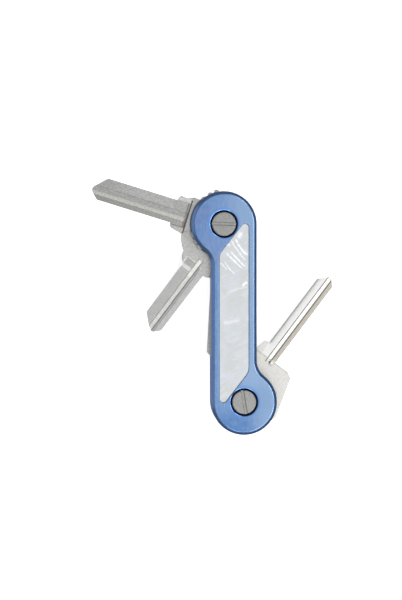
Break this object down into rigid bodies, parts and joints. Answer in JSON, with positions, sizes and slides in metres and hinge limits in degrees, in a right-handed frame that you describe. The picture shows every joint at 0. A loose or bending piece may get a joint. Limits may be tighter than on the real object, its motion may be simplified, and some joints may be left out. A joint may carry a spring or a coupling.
{
  "type": "key organiser",
  "caption": "Slim key organiser: two S-shaped blue metal plates on slotted posts, a pearl inlay, and keys that swing out from both ends.",
  "frame": {"origin": "centre of the rear plate's flat outer face, midway between the two posts", "axes": "+Y along the bar towards the post that carries three keys, +Z out through the inlaid front plate, +X to the right seen from the front"},
  "size_m": [0.0943, 0.0992, 0.0153],
  "materials": {
    "blue_plate": "blue anodised, satin",
    "pearl": "polished mother of pearl",
    "steel": "satin",
    "brass": "satin",
    "key_metal": "nickel plated, satin"
  },
  "bodies": {
    "root": {"front_plate": "blue_plate", "rear_plate": "blue_plate", "pearl_inlay": "pearl", "upper_screw": "steel", "lower_screw": "steel", "upper_post": "steel", "lower_post": "steel", "upper_washer_1": "brass", "upper_washer_2": "brass", "upper_washer_3": "brass", "upper_washer_4": "brass", "upper_washer_5": "brass", "lower_washer_1": "brass", "lower_washer_2": "brass", "lower_washer_3": "brass", "lower_washer_4": "brass", "lower_washer_5": "brass", "upper_spacer_2": "brass", "lower_spacer_1": "brass", "lower_spacer_3": "brass", "lower_spacer_4": "brass"},
    "key_upper": {"key_upper": "key_metal"},
    "key_lower": {"key_lower": "key_metal"},
    "key_folded": {"key_folded": "key_metal"},
    "key_right": {"key_right": "key_metal"}
  },
  "joints": [
    {"name": "key_upper_turn", "type": "hinge", "parent": "root", "child": "key_upper", "pos_m": [-0.0039, 0.0344, 0], "axis": [0, 0, 1], "continuous": true},
    {"name": "key_lower_turn", "type": "hinge", "parent": "root", "child": "key_lower", "pos_m": [-0.0039, 0.0344, 0], "axis": [0, 0, 1], "continuous": true},
    {"name": "key_folded_turn", "type": "hinge", "parent": "root", "child": "key_folded", "pos_m": [-0.0039, 0.0344, 0], "axis": [0, 0, 1], "continuous": true},
    {"name": "key_right_turn", "type": "hinge", "parent": "root", "child": "key_right", "pos_m": [0.0039, -0.0344, 0], "axis": [0, 0, 1], "continuous": true}
  ]
}
